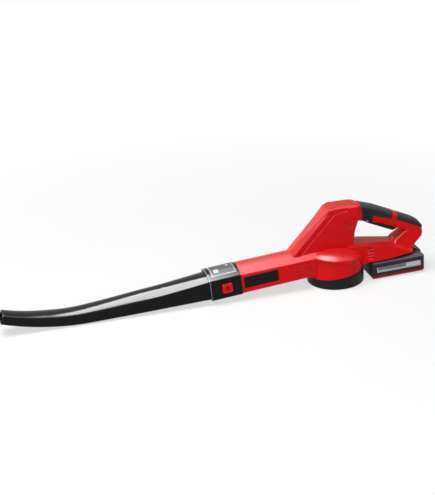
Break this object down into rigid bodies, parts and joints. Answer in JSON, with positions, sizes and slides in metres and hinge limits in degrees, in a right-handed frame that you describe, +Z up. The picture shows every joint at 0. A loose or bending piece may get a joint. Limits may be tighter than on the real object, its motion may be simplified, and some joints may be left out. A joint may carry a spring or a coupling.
{
  "type": "leaf blower",
  "caption": "Cordless hand-held leaf blower with a curved push-on tube, radial fan, loop handle with trigger and a slide-on battery pack.",
  "frame": {"origin": "on the fan's axis, in the plane of the intake ring's bottom face, which the tool stands on", "axes": "+Z up along the fan's axis, the tube points along -X and the battery lies towards +X, +Y is the tool's right side"},
  "size_m": [0.8799, 0.1232, 0.1652],
  "materials": {
    "shell_red": "semi-gloss moulded ABS",
    "grip_rubber": "matte overmoulded soft grip",
    "gloss_black": "glossy blow-moulded tube",
    "satin_black": "satin black moulding",
    "signal_red": "red moulding",
    "label_grey": "printed label, bare",
    "steel": "plain steel",
    "magnet": "dark ferrite",
    "brass": "plain brass",
    "board_green": "circuit board",
    "cell_wrap": "shrink-wrapped cell",
    "wire": "insulated wire",
    "plunger": "natural nylon"
  },
  "bodies": {
    "housing": {"left_shell": "shell_red", "right_shell": "shell_red", "front_grip": "grip_rubber", "rear_grip": "grip_rubber", "left_plate": "satin_black", "right_plate": "satin_black", "intake_ring": "satin_black", "intake_grille": "satin_black", "motor_plate": "satin_black", "motor_can": "steel", "motor_magnets": "magnet", "motor_end_cap": "satin_black", "motor_brushes": "brass", "motor_bushings": "brass", "motor_screws": "steel", "switch_body": "satin_black", "trigger_pin": "steel", "trigger_spring": "steel", "terminal_block": "satin_black", "terminal_blades": "brass", "controller_board": "board_green", "battery_leads": "wire", "motor_leads": "wire", "housing_screws": "steel", "spigot_seal": "grip_rubber"},
    "rotor": {"motor_shaft": "steel", "armature": "steel", "commutator": "brass", "impeller": "satin_black", "fan_nut": "brass"},
    "trigger": {"trigger": "satin_black"},
    "plunger": {"switch_plunger": "plunger"},
    "tube": {"blower_tube": "gloss_black", "tube_collar": "satin_black", "collar_label": "label_grey", "button_spring": "steel"},
    "tube_button": {"tube_button": "signal_red"},
    "battery": {"battery_base": "signal_red", "battery_lower_case": "satin_black", "battery_upper_case": "satin_black", "battery_cells": "cell_wrap", "cell_holder": "satin_black", "battery_board": "board_green", "battery_terminals": "brass", "battery_screws": "steel", "battery_label": "label_grey", "latch_spring": "steel"},
    "latch": {"battery_latch": "signal_red"}
  },
  "joints": [
    {"name": "fan_spin", "type": "hinge", "parent": "housing", "child": "rotor", "pos_m": [0, 0, 0.025], "axis": [0, 0, 1], "continuous": true},
    {"name": "trigger_pull", "type": "hinge", "parent": "housing", "child": "trigger", "pos_m": [0.066, 0, 0.1225], "axis": [0, -1, 0], "range_deg": [0, 6], "stiffness_Nm_per_rad": 2, "springref_deg": -5.73, "deforming": ["trigger_spring"]},
    {"name": "switch_press", "type": "slide", "parent": "housing", "child": "plunger", "axis": [0.4147, 0, 0.91], "range_m": [0, 0.00314]},
    {"name": "tube_draw", "type": "slide", "parent": "housing", "child": "tube", "axis": [-0.9969, 0, -0.0785], "range_m": [0, 0.055]},
    {"name": "tube_button_press", "type": "slide", "parent": "tube", "child": "tube_button", "axis": [0, 1, 0], "range_m": [0, 0.0025], "stiffness_N_per_m": 1500, "springref_m": -0.001, "deforming": ["button_spring"]},
    {"name": "battery_slide", "type": "slide", "parent": "housing", "child": "battery", "axis": [0.9998, 0, 0.0209], "range_m": [0, 0.105]},
    {"name": "battery_latch_press", "type": "slide", "parent": "battery", "child": "latch", "axis": [0.0209, 0, -0.9998], "range_m": [0, 0.003], "stiffness_N_per_m": 1500, "springref_m": -0.001, "deforming": ["latch_spring"]}
  ],
  "couplings": [
    {"joint": "switch_press", "follows": "trigger_pull", "m_per_rad": 0.03}
  ]
}
